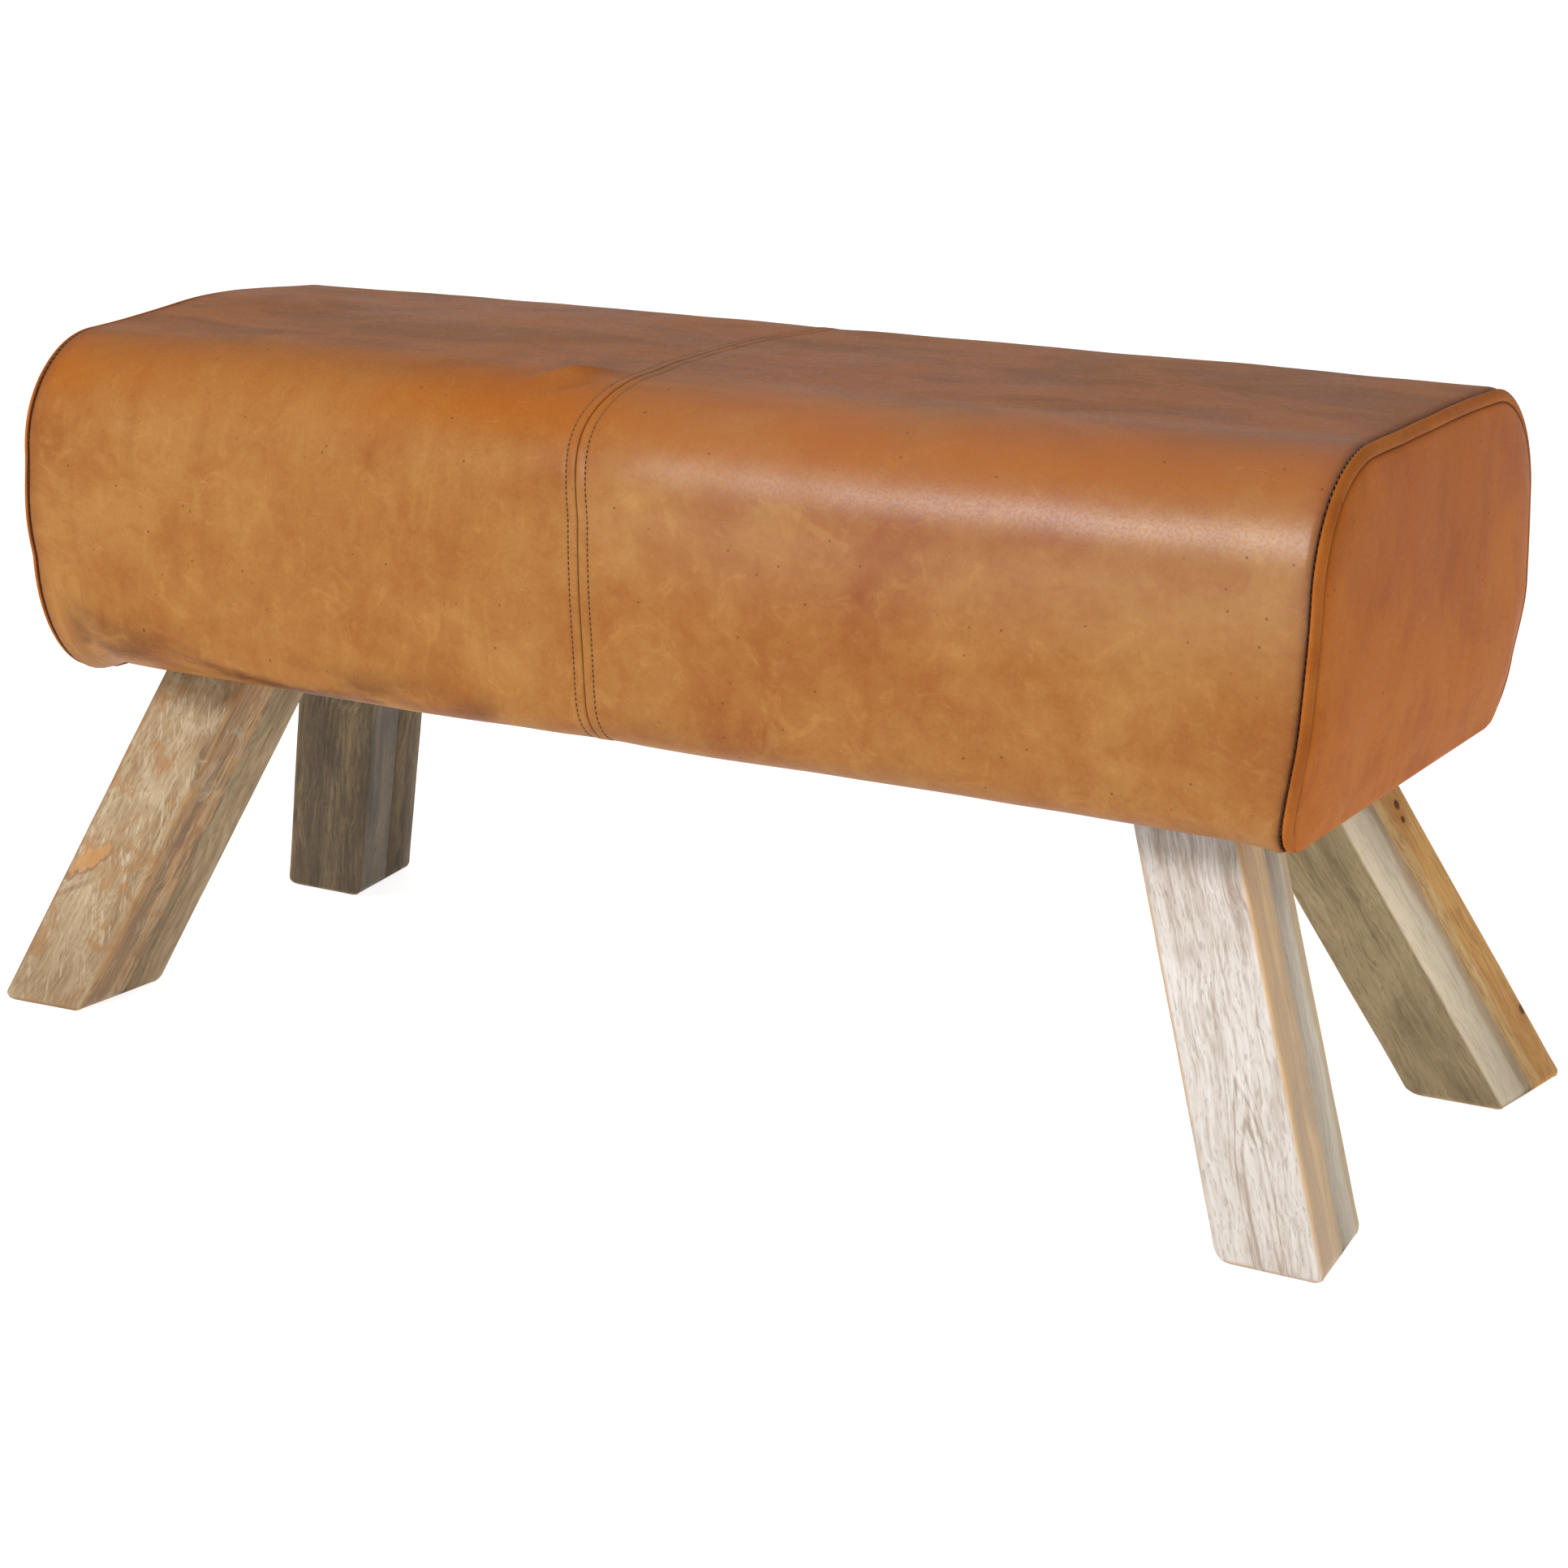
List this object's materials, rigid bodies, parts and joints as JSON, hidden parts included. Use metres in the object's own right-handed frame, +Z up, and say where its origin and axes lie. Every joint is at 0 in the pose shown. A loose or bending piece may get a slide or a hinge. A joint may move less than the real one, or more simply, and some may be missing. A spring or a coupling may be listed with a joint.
{
  "type": "pommel horse bench",
  "caption": "Long padded leather bench shaped like a gymnasium pommel horse, with rounded shoulders, a stitched centre seam, welted ends and splayed square timber legs.",
  "frame": {"origin": "on the floor, under the middle of the bench", "axes": "+X along the bench towards its right end, +Y towards its back, +Z up"},
  "size_m": [1.052, 0.4192, 0.5],
  "materials": {
    "cover_leather": "mottled honey tan, waxed",
    "end_leather": "mottled red-brown tan, waxed",
    "welt_leather": "waxed",
    "seam_thread": "waxed thread",
    "seam_tape": "woven tape",
    "leg_pale_wood": "whitewashed, matt",
    "leg_grey_wood": "matt",
    "leg_tan_wood": "matt",
    "leg_dark_wood": "matt",
    "plywood": "sawn",
    "softwood": "sawn",
    "foam": "open-cell foam",
    "dust_cloth": "spun-bonded cloth",
    "zinc_steel": "zinc plated"
  },
  "bodies": {
    "root": {"base_board": "plywood", "coach_screws": "zinc_steel", "coach_washers": "zinc_steel", "cover_left": "cover_leather", "cover_right": "cover_leather", "dust_cover": "dust_cloth", "dust_cover_staples": "zinc_steel", "end_board_left": "plywood", "end_board_right": "plywood", "end_panel_left": "end_leather", "end_panel_right": "end_leather", "foam_back": "foam", "foam_end_left": "foam", "foam_end_right": "foam", "foam_front": "foam", "foam_top": "foam", "frame_screws": "zinc_steel", "leather_staples": "zinc_steel", "leg_back_left_inner": "leg_dark_wood", "leg_back_left_outer": "leg_dark_wood", "leg_back_right_inner": "leg_grey_wood", "leg_back_right_outer": "leg_grey_wood", "leg_block_back_left": "softwood", "leg_block_back_right": "softwood", "leg_block_front_left": "softwood", "leg_block_front_right": "softwood", "leg_front_left_inner": "leg_tan_wood", "leg_front_left_outer": "leg_tan_wood", "leg_front_right_inner": "leg_pale_wood", "leg_front_right_outer": "leg_pale_wood", "rib_left": "plywood", "rib_right": "plywood", "seam_tape": "seam_tape", "side_board_back": "plywood", "side_board_front": "plywood", "top_board": "plywood", "welt_left": "welt_leather", "welt_right": "welt_leather"}
  },
  "joints": []
}
